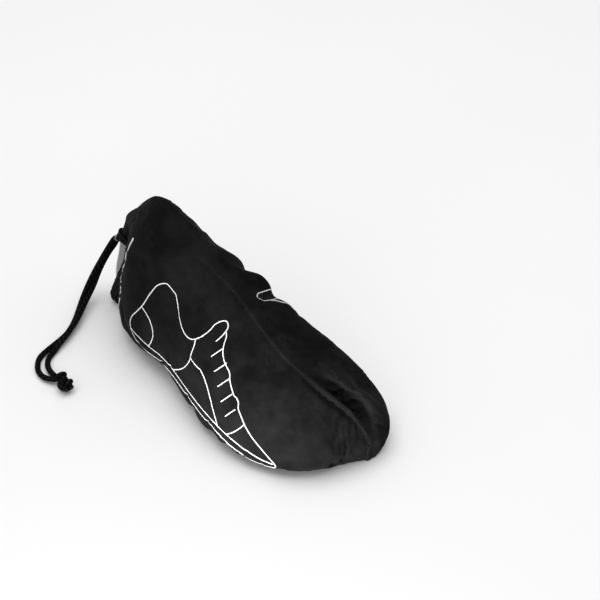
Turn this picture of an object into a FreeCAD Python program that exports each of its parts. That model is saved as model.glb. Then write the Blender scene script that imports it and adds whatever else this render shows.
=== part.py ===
# Drawstring shoe bag, filled so that it keeps the form of a shoe.
# Millimetres. +X runs from the heel to the toe, -Y is the right side, +Z is up.
# The origin is the middle of the bag's base, on the surface that it stands on.
import FreeCAD
import Part
import math
import os

V = FreeCAD.Vector

# --- fabric and thread -------------------------------------------------------------------------
FABRIC = 2.0            # thickness of a side panel, pile included
SOLE_DIP = 0.8          # the form is shaved flat by this much where it stands on the surface
BINDING_DEPTH = 1.4     # how far the bound seam allowance stands into the bag
BINDING_HALF = 2.6      # half its width
THREAD = 0.7            # casing stitches
STITCH_LENGTH = 3.2
STITCH_COUNT = 22       # on each side of the mouth

# --- the bag's form: one row for each cross-section --------------------------------------------
# x, middle y, half width, shoulder height, height, drift of the ridge, upper and lower power
STATIONS = [
    (-160, 1, 14, 40, 79, 0, 2.2, 2.2),
    (-156, 0.5, 15.5, 41, 89, 0, 2.1, 2.2),
    (-142, -1, 25, 42, 117, 0, 1.7, 2.4),
    (-122, -3, 36, 38, 143, 0, 1.5, 3.0),
    (-104, -4, 42, 36, 161, 0, 1.45, 3.4),
    (-90, -4, 45, 35, 168, 0, 1.5, 3.6),
    (-72, -4, 46, 34, 164, 1, 1.55, 3.6),
    (-42, -2, 48, 33, 148, 2, 1.6, 3.6),
    (-2, -3, 55, 32, 124, 4, 1.7, 3.6),
    (38, -4, 62, 31, 102, 6, 1.8, 3.6),
    (73, -2, 65, 30, 84, 8, 1.95, 3.6),
    (106, 2, 63, 28, 71, 9, 2.1, 3.4),
    (130, 5, 57, 27, 61, 9, 2.2, 3.2),
    (148, 10, 48, 26, 53, 8, 2.3, 3.0),
    (161, 15, 34, 24, 43, 6, 2.3, 2.6),
    (170, 19, 17, 20, 32, 3, 2.2, 2.2),
    (173, 20, 8, 18, 25, 1, 2.0, 2.0),
]
TOE_STATIONS = 3        # the last ones, which round the toe off
RING_POINTS = 32        # points round one cross-section
# where the seam between the panels lies in plan, mouth to toe
SEAM = [(-190, 1), (-142, -1), (-90, -6), (-20, -11), (50, -8), (110, 2), (150, 12), (190, 20)]

BESIDE = 100.0          # clear of the bag on each side
ABOVE = 200.0           # clear of it on top

# --- mouth and its casing ----------------------------------------------------------------------
MOUTH_X = -160.0        # the panels end here and the casing begins
CASING_LENGTH = 12.0    # along X
CASING_WALL = 0.8
CASING_BAND = 8.0       # the folded strip, across
MOUTH_Y = 1.0
MOUTH_HALF = 14.0
MOUTH_LOW = 1.0
MOUTH_HIGH = 79.0
BACK_X = MOUTH_X - CASING_LENGTH

# --- drawcord ----------------------------------------------------------------------------------
CORD_R = 3.0
CORD_GAP = 0.3          # between the cord and what it slides past
EXIT_ANGLE = 28.0       # of each exit from the top of the mouth
LEADER_START = 10.0     # straight cord that stands ready inside the casing
EYELET_R = 4.0
EYELET_HOLE = CORD_R + CORD_GAP
EYELET_PROUD = 0.9
# the routes of the two tails after their exits, chosen by hand; the floor is z = 0
NEAR_ROUTE = [(-178.5, -3.7, 73.8), (-181.5, -6, 60), (-184.5, -12, 44), (-189, -20.5, 30), (-188, -35, 15.5),
              (-178, -52, 6.5), (-165, -73.5, 3.4), (-156.5, -93, 3.2), (-151.5, -110, 3.2),
              (-143, -126.5, 3.2), (-128, -137.5, 3.2), (-111, -131.5, 5.6)]
FAR_ROUTE = [(-178.5, 5.7, 73.8), (-186, 1.5, 62), (-188, -3, 46), (-187, -11, 29.5), (-181.5, -25.5, 15.5),
             (-172, -46, 6.5), (-159, -67, 3.4), (-148, -85, 3.2), (-144, -103.5, 3.2),
             (-138, -117.5, 3.2), (-126, -126, 3.4), (-112, -125.5, 6)]

# --- knot and free ends ------------------------------------------------------------------------
KNOT_FROM = V(-106.5, -126.5, 7.5)
KNOT_TO = V(-94.5, -128.5, 8.4)
KNOT_R = 7.2
KNOT_END_R = 8.2
END_LENGTH = 5.0
END_R = 3.1

# --- woven label -------------------------------------------------------------------------------
LABEL_X = BACK_X - 1.6  # its face towards the casing
LABEL_THICK = 1.2       # folded double
LABEL_Y = (5.4, 14.6)
LABEL_TOP = 64.0
LABEL_LENGTH = 54.0
LABEL_ROW = 1.2         # height of the stitches that hold it
LABEL_GAP = 0.3         # between them and the label, which swings on them


def station_points(row, inset):
    """Points round one cross-section, a superellipse with its own powers above and below."""
    x, mid, half, shoulder, high, drift, upper, lower = row
    base = inset - SOLE_DIP * max(0.0, 1 - inset / FABRIC)
    points = []
    for i in range(RING_POINTS):
        angle = 2 * math.pi * i / RING_POINTS
        power = upper if angle < math.pi else lower
        across = math.copysign(abs(math.cos(angle)) ** (2 / power), math.cos(angle))
        rise = abs(math.sin(angle)) ** (2 / power)
        if angle < math.pi:
            z = shoulder + (high - inset - shoulder) * rise
            y = mid + (half - inset) * across + drift * rise ** 1.5
        else:
            z = shoulder - (shoulder - base) * rise
            y = mid + (half - inset) * across
        points.append(V(x, y, z))
    return points


def closed_wire(points):
    curve = Part.BSplineCurve()
    curve.interpolate(points, PeriodicFlag=True)
    return Part.Wire([curve.toShape()])


def form(inset, mouth_x):
    """The bag's form as a solid, moved in by inset, its open end at mouth_x."""
    wires = []
    for index, row in enumerate(STATIONS):
        x = row[0]
        if index == 0:
            x = mouth_x
        elif index >= len(STATIONS) - TOE_STATIONS:
            x -= inset
        wires.append(closed_wire(station_points((x,) + row[1:], inset)))
    return Part.makeLoft(wires, True, False)


def plan_prism(outline):
    """Everything over a closed outline in plan, from the surface up to above the bag."""
    corners = [V(x, y, 0) for x, y in outline + outline[:1]]
    return Part.Face(Part.makePolygon(corners)).extrude(V(0, 0, ABOVE))


def seam_line(offset):
    return [(x, y + offset) for x, y in SEAM]


def right_half():
    """All that lies on the right of the seam, nearer than it in Y."""
    return plan_prism(seam_line(0) + [(SEAM[-1][0], -BESIDE), (SEAM[0][0], -BESIDE)])


def left_half():
    return plan_prism(seam_line(0) + [(SEAM[-1][0], BESIDE), (SEAM[0][0], BESIDE)])


def seam_binding(cavity, lining):
    """The bound seam allowance: a narrow band that stands in from the panels all along the seam."""
    slab = plan_prism(seam_line(-BINDING_HALF) + seam_line(BINDING_HALF)[::-1])
    inside = plan_prism([(MOUTH_X, -BESIDE), (BESIDE * 2, -BESIDE), (BESIDE * 2, BESIDE), (MOUTH_X, BESIDE)])
    return cavity.common(slab).cut(lining).common(inside)


def stadium(x, inset):
    """The mouth's outline, a tall slot with round ends, as a wire at x, moved in by inset."""
    radius = MOUTH_HALF - inset
    low, high = MOUTH_LOW + MOUTH_HALF, MOUTH_HIGH - MOUTH_HALF
    left, right = MOUTH_Y + radius, MOUTH_Y - radius
    top = Part.Arc(V(x, left, high), V(x, MOUTH_Y, high + radius), V(x, right, high)).toShape()
    base = Part.Arc(V(x, right, low), V(x, MOUTH_Y, low - radius), V(x, left, low)).toShape()
    return Part.Wire([top, Part.makeLine(V(x, right, high), V(x, right, low)), base,
                      Part.makeLine(V(x, left, low), V(x, left, high))])


def slot_solid(x_low, x_high, inset):
    return Part.Face(stadium(x_low, inset)).extrude(V(x_high - x_low, 0, 0))


def exit_point(side):
    """Where a tail leaves: on the middle line of the casing, side -1 near and +1 far."""
    radius = MOUTH_HALF - CASING_BAND / 2
    angle = math.radians(EXIT_ANGLE)
    return V(BACK_X, MOUTH_Y + side * radius * math.sin(angle),
             MOUTH_HIGH - MOUTH_HALF + radius * math.cos(angle))


def mouth_casing():
    outer = slot_solid(BACK_X, MOUTH_X, 0)
    opening = slot_solid(BACK_X - 1, MOUTH_X + 1, CASING_BAND)
    tunnel = slot_solid(BACK_X + CASING_WALL, MOUTH_X - CASING_WALL, CASING_WALL).cut(
        slot_solid(BACK_X, MOUTH_X, CASING_BAND - CASING_WALL))
    casing = outer.cut(opening).cut(tunnel)
    for side in (-1, 1):
        hole = Part.makeCylinder(EYELET_HOLE, 2 * CASING_WALL + 1, exit_point(side) - V(1, 0, 0), V(1, 0, 0))
        casing = casing.cut(hole)
    return casing


def cord_eyelet(side):
    face = exit_point(side) - V(EYELET_PROUD, 0, 0)
    ring = Part.makeCylinder(EYELET_R, EYELET_PROUD, face, V(1, 0, 0))
    hole = Part.makeCylinder(EYELET_HOLE, EYELET_PROUD + 2, face - V(1, 0, 0), V(1, 0, 0))
    return ring.cut(hole)


def drawcord_loop():
    """The cord round the mouth, inside the tunnel, from one exit down and up to the other."""
    x = BACK_X + CASING_LENGTH / 2
    radius = MOUTH_HALF - CASING_BAND / 2
    low, high = MOUTH_LOW + MOUTH_HALF, MOUTH_HIGH - MOUTH_HALF
    clear = math.degrees((2 * CORD_R + CORD_GAP) / radius)
    start = math.radians(EXIT_ANGLE + clear)
    half = (start + math.pi / 2) / 2

    def on_top(angle, side):
        return V(x, MOUTH_Y + side * radius * math.sin(angle), high + radius * math.cos(angle))

    far_arc = Part.Arc(on_top(start, 1), on_top(half, 1), on_top(math.pi / 2, 1)).toShape()
    near_arc = Part.Arc(on_top(math.pi / 2, -1), on_top(half, -1), on_top(start, -1)).toShape()
    base = Part.Arc(V(x, MOUTH_Y + radius, low), V(x, MOUTH_Y, low - radius),
                    V(x, MOUTH_Y - radius, low)).toShape()
    down = Part.makeLine(V(x, MOUTH_Y + radius, high), V(x, MOUTH_Y + radius, low))
    up = Part.makeLine(V(x, MOUTH_Y - radius, low), V(x, MOUTH_Y - radius, high))
    path = Part.Wire([far_arc, down, base, up, near_arc])
    return tube(path, on_top(start, 1), V(0, math.cos(start), -math.sin(start)), CORD_R)


def tube(path, start, direction, radius):
    circle = Part.Wire([Part.makeCircle(radius, start, direction)])
    return path.makePipeShell([circle], True, False)


def rounded_path(points, label):
    """Straight runs joined by tangent arcs, each as large as its two runs allow."""
    edges = []
    last = points[0]
    radii = []
    for before, corner, after in zip(points, points[1:], points[2:]):
        into, out = (corner - before), (after - corner)
        run = min(into.Length, out.Length)
        into.normalize()
        out.normalize()
        turn = into.getAngle(out)
        reach = 0.45 * run
        radius = reach / math.tan(turn / 2)
        radii.append(radius)
        first, second = corner - into * reach, corner + out * reach
        inward = (out - into)
        inward.normalize()
        middle = corner + inward * (radius / math.cos(turn / 2) - radius)
        edges.append(Part.makeLine(last, first))
        edges.append(Part.Arc(first, middle, second).toShape())
        last = second
    edges.append(Part.makeLine(last, points[-1]))
    print(label, "radii", [round(r, 1) for r in radii])
    return Part.Wire(edges)


def cord_tail(side, route, label):
    start = exit_point(side) + V(LEADER_START, 0, 0)
    points = [start] + [V(*p) for p in route]
    points[1] = V(points[1].x, start.y, start.z)
    path = rounded_path(points, label)
    solid = tube(path, start, V(-1, 0, 0), CORD_R)
    print(label, "length", round(path.Length, 1), "volume over section times length",
          round(solid.Volume / (math.pi * CORD_R ** 2 * path.Length), 4))
    return solid


def stopper_knot():
    """An overhand knot of both tails, as its outer lump: two round lobes joined."""
    axis = KNOT_TO - KNOT_FROM
    lump = Part.makeSphere(KNOT_R, KNOT_FROM).fuse(Part.makeSphere(KNOT_END_R, KNOT_TO))
    return lump.fuse(Part.makeCylinder(KNOT_R * 0.9, axis.Length, KNOT_FROM, axis)).removeSplitter()


def cord_end(side):
    axis = KNOT_TO - KNOT_FROM
    axis.normalize()
    across = V(-axis.y, axis.x, 0)
    start = KNOT_TO + axis * (KNOT_END_R - 2.0) + across * (side * 3.3)
    return Part.makeCylinder(END_R, END_LENGTH, start, axis)


def casing_stitching():
    """A row of short stitches down each side of the mouth, over the joint of casing and panel."""
    stitches = []
    low, high = MOUTH_LOW + MOUTH_HALF, MOUTH_HIGH - MOUTH_HALF
    step = (high - low) / STITCH_COUNT
    for side in (-1, 1):
        y = MOUTH_Y + side * MOUTH_HALF
        for i in range(STITCH_COUNT):
            z = low + step * (i + 0.5)
            corner = V(MOUTH_X - STITCH_LENGTH, min(y, y + side * THREAD), z - THREAD / 2)
            stitches.append(Part.makeBox(STITCH_LENGTH - 0.4, THREAD, THREAD, corner))
    return Part.makeCompound(stitches)


def woven_label():
    return Part.makeBox(LABEL_THICK, LABEL_Y[1] - LABEL_Y[0], LABEL_LENGTH,
                        V(LABEL_X - LABEL_THICK, LABEL_Y[0], LABEL_TOP - LABEL_LENGTH))


def label_stitching():
    """The row that holds the label's folded end to the casing."""
    reach = BACK_X - LABEL_X - LABEL_GAP
    return Part.makeBox(reach, LABEL_Y[1] - LABEL_Y[0] - 2, LABEL_ROW,
                        V(LABEL_X + LABEL_GAP, LABEL_Y[0] + 1, LABEL_TOP - 2 * LABEL_ROW))


def main():
    os.makedirs("parts", exist_ok=True)
    outer = form(0, MOUTH_X)
    cavity = form(FABRIC, MOUTH_X - 1)
    lining = form(FABRIC + BINDING_DEPTH, MOUTH_X - 2)
    shell = outer.cut(cavity)
    nodes = {
        "right_side_panel": shell.common(right_half()),
        "left_side_panel": shell.common(left_half()),
        "seam_binding": seam_binding(cavity, lining),
        "mouth_casing": mouth_casing(),
        "casing_stitching": casing_stitching(),
        "cord_eyelet_near": cord_eyelet(-1),
        "cord_eyelet_far": cord_eyelet(1),
        "drawcord_loop": drawcord_loop(),
        "drawcord_tail_near": cord_tail(-1, NEAR_ROUTE, "near tail"),
        "drawcord_tail_far": cord_tail(1, FAR_ROUTE, "far tail"),
        "stopper_knot": stopper_knot(),
        "cord_end_near": cord_end(-1),
        "cord_end_far": cord_end(1),
        "woven_label": woven_label(),
        "label_stitching": label_stitching(),
    }
    for name, shape in nodes.items():
        box = shape.optimalBoundingBox()
        print(name, shape.ShapeType, len(shape.Solids), "valid", shape.isValid(),
              "volume", round(shape.Volume, 1),
              "box", [round(v, 1) for v in (box.XMin, box.YMin, box.ZMin, box.XMax, box.YMax, box.ZMax)])
        shape.exportStep("parts/" + name + ".step")


main()
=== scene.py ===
"""Drawstring shoe bag in black knit, filled so that it keeps the form of a shoe."""
import bpy
import math
import numpy as np
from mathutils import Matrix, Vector
from mathutils.bvhtree import BVHTree


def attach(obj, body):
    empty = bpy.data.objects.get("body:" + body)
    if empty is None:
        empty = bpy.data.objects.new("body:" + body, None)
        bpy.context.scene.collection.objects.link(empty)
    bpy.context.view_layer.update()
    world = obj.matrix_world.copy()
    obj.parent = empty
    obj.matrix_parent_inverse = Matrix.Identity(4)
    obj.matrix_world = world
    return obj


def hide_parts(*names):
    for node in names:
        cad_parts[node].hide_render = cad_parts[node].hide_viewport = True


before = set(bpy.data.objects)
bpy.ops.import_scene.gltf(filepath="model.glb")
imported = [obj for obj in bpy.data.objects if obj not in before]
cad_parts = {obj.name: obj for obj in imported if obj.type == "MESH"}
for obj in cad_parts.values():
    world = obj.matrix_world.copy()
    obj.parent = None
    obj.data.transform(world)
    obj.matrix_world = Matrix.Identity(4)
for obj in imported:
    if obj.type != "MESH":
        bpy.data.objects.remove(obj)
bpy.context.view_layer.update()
MM = 0.001


def unit(v):
    return v / np.maximum(np.linalg.norm(v, axis=-1, keepdims=True), 1e-12)


def grey(value):
    return value, value, value


def smooth(t):
    t = np.clip(t, 0.0, 1.0)
    return t * t * (3 - 2 * t)


# ---------------- camera, light and floor
LOOK_AT = Vector((-0.0295, 0.1153, 0.0138))
AZIMUTH, ELEVATION, DISTANCE = math.radians(47.3), math.radians(40.0), 1.75
back = Vector((math.sin(AZIMUTH) * math.cos(ELEVATION), -math.cos(AZIMUTH) * math.cos(ELEVATION),
               math.sin(ELEVATION)))
camera = bpy.data.objects.new("camera", bpy.data.cameras.new("camera"))
bpy.context.scene.collection.objects.link(camera)
camera.location = LOOK_AT + back * DISTANCE
camera.rotation_euler = (-back).to_track_quat("-Z", "Y").to_euler()
camera.data.lens = 105
camera.data.sensor_width = 36
camera.data.clip_start, camera.data.clip_end = 0.05, 30
bpy.context.scene.camera = camera
bpy.context.scene.view_settings.view_transform = "Standard"


def hang_lamp(name, lamp, place, target):
    """Puts a lamp at a place, aimed at a target."""
    o = bpy.data.objects.new(name, lamp)
    bpy.context.scene.collection.objects.link(o)
    o.location = place
    o.rotation_euler = (Vector(target) - Vector(place)).to_track_quat("-Z", "Y").to_euler()
    return o


def area_light(name, place, target, size, power):
    lamp = bpy.data.lights.new(name, "AREA")
    lamp.shape, lamp.size, lamp.energy = "DISK", size, power
    return hang_lamp(name, lamp, place, target)


def spot_light(name, place, target, angle, size, power):
    """A spot whose light fades from its middle to its edge."""
    lamp = bpy.data.lights.new(name, "SPOT")
    lamp.energy, lamp.spot_size, lamp.spot_blend, lamp.shadow_soft_size = power, angle, 1.0, size
    return hang_lamp(name, lamp, place, target)


area_light("key", (0.44, -0.50, 0.34), (0.14, -0.05, 0.05), 0.34, 0.5)
area_light("top", (-0.1, 0.1, 2.6), (0, 0, 0), 3.0, 44)
accent_lamp = spot_light("accent", (0.30, -1.14, 0.27), (0.15, -0.06, 0.02), math.radians(21), 0.15, 230)

world = bpy.data.worlds.new("studio")
bpy.context.scene.world = world
world.use_nodes = True
world.node_tree.nodes["Background"].inputs["Color"].default_value = (1, 1, 1, 1)
world.node_tree.nodes["Background"].inputs["Strength"].default_value = 0.57


# ---------------- meshes
def mesh_object(name, verts, faces, material, body=None):
    """A new mesh piece from points in metres."""
    mesh = bpy.data.meshes.new(name)
    mesh.from_pydata([tuple(map(float, v)) for v in verts], [], [tuple(map(int, f)) for f in faces])
    mesh.validate()
    mesh.update()
    mesh.shade_smooth()
    o = bpy.data.objects.new(name, mesh)
    bpy.context.scene.collection.objects.link(o)
    mesh.materials.append(material)
    if body:
        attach(o, body)
    return o


def grid_faces(rows, columns, wrap=False, start=0):
    """Quads of a rows by columns grid of points, closed across its columns where wrap is set."""
    last = columns if wrap else columns - 1
    i, j = np.meshgrid(np.arange(rows - 1), np.arange(last), indexing="ij")
    k = (j + 1) % columns
    quads = np.stack([i * columns + j, i * columns + k, (i + 1) * columns + k, (i + 1) * columns + j], -1)
    return quads.reshape(-1, 4) + start


def vertex_values(o, key):
    values = np.zeros(len(o.data.vertices) * 3, np.float32)
    o.data.vertices.foreach_get(key, values)
    return values.reshape(-1, 3).astype(float)


def set_coords(o, co):
    o.data.vertices.foreach_set("co", np.asarray(co, np.float32).ravel())
    o.data.update()


def curve_line(points, step, closed=False):
    """Points about step apart on the smooth spline whose control points are given."""
    data = bpy.data.curves.new("line", "CURVE")
    data.dimensions, data.resolution_u = "3D", 24
    spline = data.splines.new("NURBS")
    spline.points.add(len(points) - 1)
    for p, q in zip(spline.points, points):
        p.co = (*q, 1)
    spline.order_u = 3
    if closed:
        spline.use_cyclic_u = True
    else:
        spline.use_endpoint_u = True
    holder = bpy.data.objects.new("line", data)
    mesh = bpy.data.meshes.new_from_object(holder)
    line = np.array([v.co for v in mesh.vertices], float)
    if closed:
        line = np.vstack([line, line[:1]])
    bpy.data.meshes.remove(mesh)
    bpy.data.objects.remove(holder)
    bpy.data.curves.remove(data)
    return evenly(line, step)


def lengths_along(line):
    """How far each point of a line is from its first one, measured along it."""
    return np.concatenate([[0], np.cumsum(np.linalg.norm(np.diff(line, axis=0), axis=1))])


def points_at(at, along, line):
    """The places on a line at given lengths along it."""
    return np.stack([np.interp(at, along, line[:, k]) for k in range(3)], axis=-1)


def evenly(line, step=None, count=None):
    along = lengths_along(line)
    count = count or max(2, int(round(along[-1] / step)) + 1)
    return points_at(np.linspace(0, along[-1], count), along, line)


def frames_along(line, first=(0, 0, 1)):
    """Two cross directions at each point, carried along without twist."""
    tangent = unit(np.gradient(line, axis=0))
    side = np.zeros_like(line)
    u = np.array(first, float)
    for i, t in enumerate(tangent):
        u = u - (u @ t) * t
        if np.linalg.norm(u) < 1e-6:
            u = np.cross(t, (0.3, 0.5, 0.8))
        u = u / np.linalg.norm(u)
        side[i] = u
    return side, np.cross(tangent, side)


# ---------------- materials
PITCH_OVER_SCALE = 6.28         # turns a band pitch into the wave texture's scale


class Nodes:
    """A short way to write a node tree."""

    def __init__(self, name):
        self.material = bpy.data.materials.new(name)
        self.material.use_nodes = True
        self.tree = self.material.node_tree
        self.shader = self.tree.nodes["Principled BSDF"]

    def add(self, kind, inputs=None, **settings):
        node = self.tree.nodes.new(kind)
        for key, value in settings.items():
            setattr(node, key, value)
        for key, value in (inputs or {}).items():
            self.put(node.inputs[key], value)
        return node

    def put(self, socket, value):
        if isinstance(value, bpy.types.NodeSocket):
            self.tree.links.new(value, socket)
        else:
            socket.default_value = value

    def math(self, operation, a, b):
        return self.add("ShaderNodeMath", {0: a, 1: b}, operation=operation).outputs[0]

    def place(self):
        return self.add("ShaderNodeTexCoord").outputs["Object"]

    def noise(self, scale, detail=2.0, roughness=0.5):
        return self.add("ShaderNodeTexNoise", {"Vector": self.place(), "Scale": scale, "Detail": detail,
                                               "Roughness": roughness}).outputs["Fac"]

    def bands(self, where, pitch, way, **shape):
        """Ribs across one direction; shape gives the texture's other inputs."""
        return self.add("ShaderNodeTexWave", {"Vector": where, "Scale": pitch / PITCH_OVER_SCALE, **shape},
                        wave_type="BANDS", bands_direction=way).outputs["Fac"]

    def ramp(self, fac, stops):
        node = self.add("ShaderNodeValToRGB", {"Fac": fac})
        ramp = node.color_ramp
        while len(ramp.elements) < len(stops):
            ramp.elements.new(0.5)
        for element, (at, colour) in zip(ramp.elements, stops):
            element.position, element.color = at, (*colour, 1)
        return node.outputs["Color"]

    def bump(self, height, strength, distance):
        return self.add("ShaderNodeBump", {"Height": height, "Strength": strength,
                                           "Distance": distance}).outputs["Normal"]

    def set(self, **values):
        for key, value in values.items():
            self.put(self.shader.inputs[key.replace("_", " ")], value)
        return self.material


def knit_material(name, dark, light, pitch=1100.0):
    """Fine brushed knit: loop rows as bump, a faint mottle and a soft sheen."""
    n = Nodes(name)
    place = n.place()
    rows = n.bands(place, pitch, "Z", Distortion=1.2, Detail=1.0)
    wales = n.bands(place, pitch, "X", Distortion=1.2, Detail=1.0)
    loops = n.math("MULTIPLY", rows, wales)
    fuzz = n.noise(2600.0, 3.0)
    height = n.math("ADD", n.math("MULTIPLY", loops, 0.6), n.math("MULTIPLY", fuzz, 0.5))
    broad = n.noise(16.0, 3.0, roughness=0.6)
    middle = n.noise(70.0, 4.0, roughness=0.6)
    mottle = n.math("ADD", n.math("MULTIPLY", broad, 0.65), n.math("MULTIPLY", middle, 0.35))
    colour = n.ramp(mottle, [(0.41, dark), (0.62, light)])
    rough = n.add("ShaderNodeMapRange", {"Value": middle, "To Min": 0.82, "To Max": 0.97}).outputs[0]
    n.set(Base_Color=colour, Roughness=rough, Specular_IOR_Level=0.05, Sheen_Weight=0.012, Sheen_Roughness=0.5,
          Normal=n.bump(height, 0.35, 0.00025))
    n.shader.inputs["Sheen Tint"].default_value = (0.9, 0.9, 0.92, 1)
    return n.material


def fibre_material(name, dark, light, scale=1800.0, rough=0.75, specular=0.3, sheen=0.15):
    """Yarn or thread: streaky, with fine fibre bump."""
    n = Nodes(name)
    fine = n.noise(scale, 4.0, roughness=0.65)
    broad = n.noise(120.0, 2.0)
    colour = n.ramp(n.math("ADD", n.math("MULTIPLY", fine, 0.6), n.math("MULTIPLY", broad, 0.4)),
                    [(0.3, dark), (0.7, light)])
    n.set(Base_Color=colour, Roughness=rough, Specular_IOR_Level=specular, Sheen_Weight=sheen,
          Sheen_Roughness=0.4, Normal=n.bump(fine, 0.4, 0.0002))
    return n.material


def tape_material(name, dark, light, pitch=1500.0):
    """Woven satin tape: fine ribs across."""
    n = Nodes(name)
    place = n.place()
    ribs = n.bands(place, pitch, "Z", Distortion=0.6)
    mottle = n.noise(240.0, 3.0)
    n.set(Base_Color=n.ramp(mottle, [(0.3, dark), (0.7, light)]), Roughness=0.62, Specular_IOR_Level=0.35,
          Normal=n.bump(ribs, 0.25, 0.0002))
    return n.material


KNIT = knit_material("black_knit", (0.0027, 0.0027, 0.0028), (0.0086, 0.0086, 0.0088))
# the light specks of the cord's fine speckle are painted glints, standing in for highlights on the braid
CORD_PAINTED_GLINTS = fibre_material("braided_polyester", grey(0.003), (0.017, 0.017, 0.0172), 640.0,
                      rough=0.6, specular=0.03, sheen=0.0)
CORD_DARK = fibre_material("braided_polyester_dark", grey(0.0005), grey(0.0022), 640.0, rough=0.6,
                           specular=0.02, sheen=0.0)
# the core shows only in the gaps between the strands; its near-black colour is painted shade in those gaps
CORE_PAINTED_SHADE = fibre_material("cord_core_painted_shade", grey(0.0004), grey(0.001), rough=0.9, specular=0.0, sheen=0.0)
SEALED = fibre_material("sealed_end", grey(0.003), grey(0.008), rough=0.4, specular=0.25, sheen=0.0)
SEAM_THREAD = fibre_material("seam_thread", grey(0.012), (0.032, 0.032, 0.033), 3000.0,
                             rough=0.6, specular=0.1, sheen=0.02)
PALE_THREAD = fibre_material("pale_thread", grey(0.45), grey(0.62), 3000.0, rough=0.6)
TAPE = tape_material("label_tape", grey(0.78), grey(0.88))
INK = fibre_material("print_ink", (0.50, 0.50, 0.51), (0.64, 0.64, 0.65), 900.0,
                     rough=0.6, specular=0.25, sheen=0.0)

FLOOR_HALF = 6          # metres
floor_nodes = Nodes("floor")
floor_nodes.set(Base_Color=floor_nodes.ramp(floor_nodes.noise(2.0), [(0.3, grey(0.87)), (0.7, grey(0.89))]),
                Roughness=0.9, Specular_IOR_Level=0.1)
corners = ((-1, -1), (1, -1), (1, 1), (-1, 1))
floor = mesh_object("floor", [(x * FLOOR_HALF, y * FLOOR_HALF, 0) for x, y in corners], [(0, 1, 2, 3)],
                    floor_nodes.material)
# the accent light falls on the bag only, so that it leaves no pool of light on the floor
unlit = bpy.data.collections.new("out_of_the_accent_light")
unlit.objects.link(floor)
accent_lamp.light_linking.receiver_collection = unlit
unlit.collection_objects[0].light_linking.link_state = "EXCLUDE"

# ---------------- the drawcord
CORD_D = 5.8
LINE_STEP = 0.7         # between the points of a cord's line
# Each route starts behind its eyelet with a nearly straight run, longer than the pull of the cord.
NEAR_ROUTE = [(-156, -1.2, 75.8), (-163, -1.2, 75.8), (-168.4, -1.4, 75.5), (-172.6, -2.3, 72.6),
    (-175.9, -4.2, 66), (-179.2, -8.3, 56.8), (-183, -14.5, 44), (-186, -21, 32), (-186.5, -30.5, 18.5),
    (-182, -41.5, 10), (-173.5, -53, 7), (-164.5, -65, 4.8), (-157, -79, 3.3), (-154, -89, 3.2),
    (-152, -99, 3.2), (-149.5, -111, 3.2), (-146.5, -121.5, 3.2), (-138, -130, 3.2),
    (-129.5, -134.5, 3.2), (-120, -135.5, 3.8), (-113, -133.5, 5.2), (-107.5, -130.5, 6.8)]
FAR_ROUTE = [(-156, 5.0, 75.4), (-163, 5.0, 75.4), (-168.4, 4.8, 75), (-172.7, 3.6, 71.6),
    (-175.2, 1.9, 66.4), (-177, 0.2, 61), (-180.8, -3.6, 52.8), (-184.4, -9.9, 40.3), (-186, -16, 28.8),
    (-183.8, -25.2, 17.1), (-176, -40.2, 12.7), (-167.4, -53.8, 10.5), (-159.2, -66.8, 9.1),
    (-151.8, -82.3, 8.2), (-148.3, -91.8, 6.9), (-145.5, -100.5, 4.8), (-143, -107.5, 3.4),
    (-140, -115, 3.2), (-134, -121, 3.2), (-126.5, -124.5, 3.4), (-118.5, -126.8, 4.8), (-111, -128, 6.8)]
BRAID_EACH_WAY = 6
BRAID_TURN = 19.0       # along the cord, for one turn of a strand
KNOT_TURN = 12.0        # the same in the knot and the ends
STRAND_THICK = 0.2      # half a strand's thickness, as a share of the cord's radius
STRAND_WAVE = 0.55      # how far a strand goes over and under, in half thicknesses


def tube_mesh(line, radii_u, radii_v, u, v, sides, start):
    """Points and faces of a closed tube round a line, capped with fans."""
    angles = np.linspace(0, 2 * np.pi, sides, endpoint=False)
    ring = (line[:, None] + u[:, None] * (np.cos(angles)[None, :, None] * np.reshape(radii_u, (-1, 1, 1)))
            + v[:, None] * (np.sin(angles)[None, :, None] * np.reshape(radii_v, (-1, 1, 1))))
    verts = ring.reshape(-1, 3)
    faces = [tuple(f) for f in grid_faces(len(line), sides, True, start)]
    faces.append(tuple(start + k for k in range(sides))[::-1])
    faces.append(tuple(start + (len(line) - 1) * sides + k for k in range(sides)))
    return verts, faces


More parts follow.
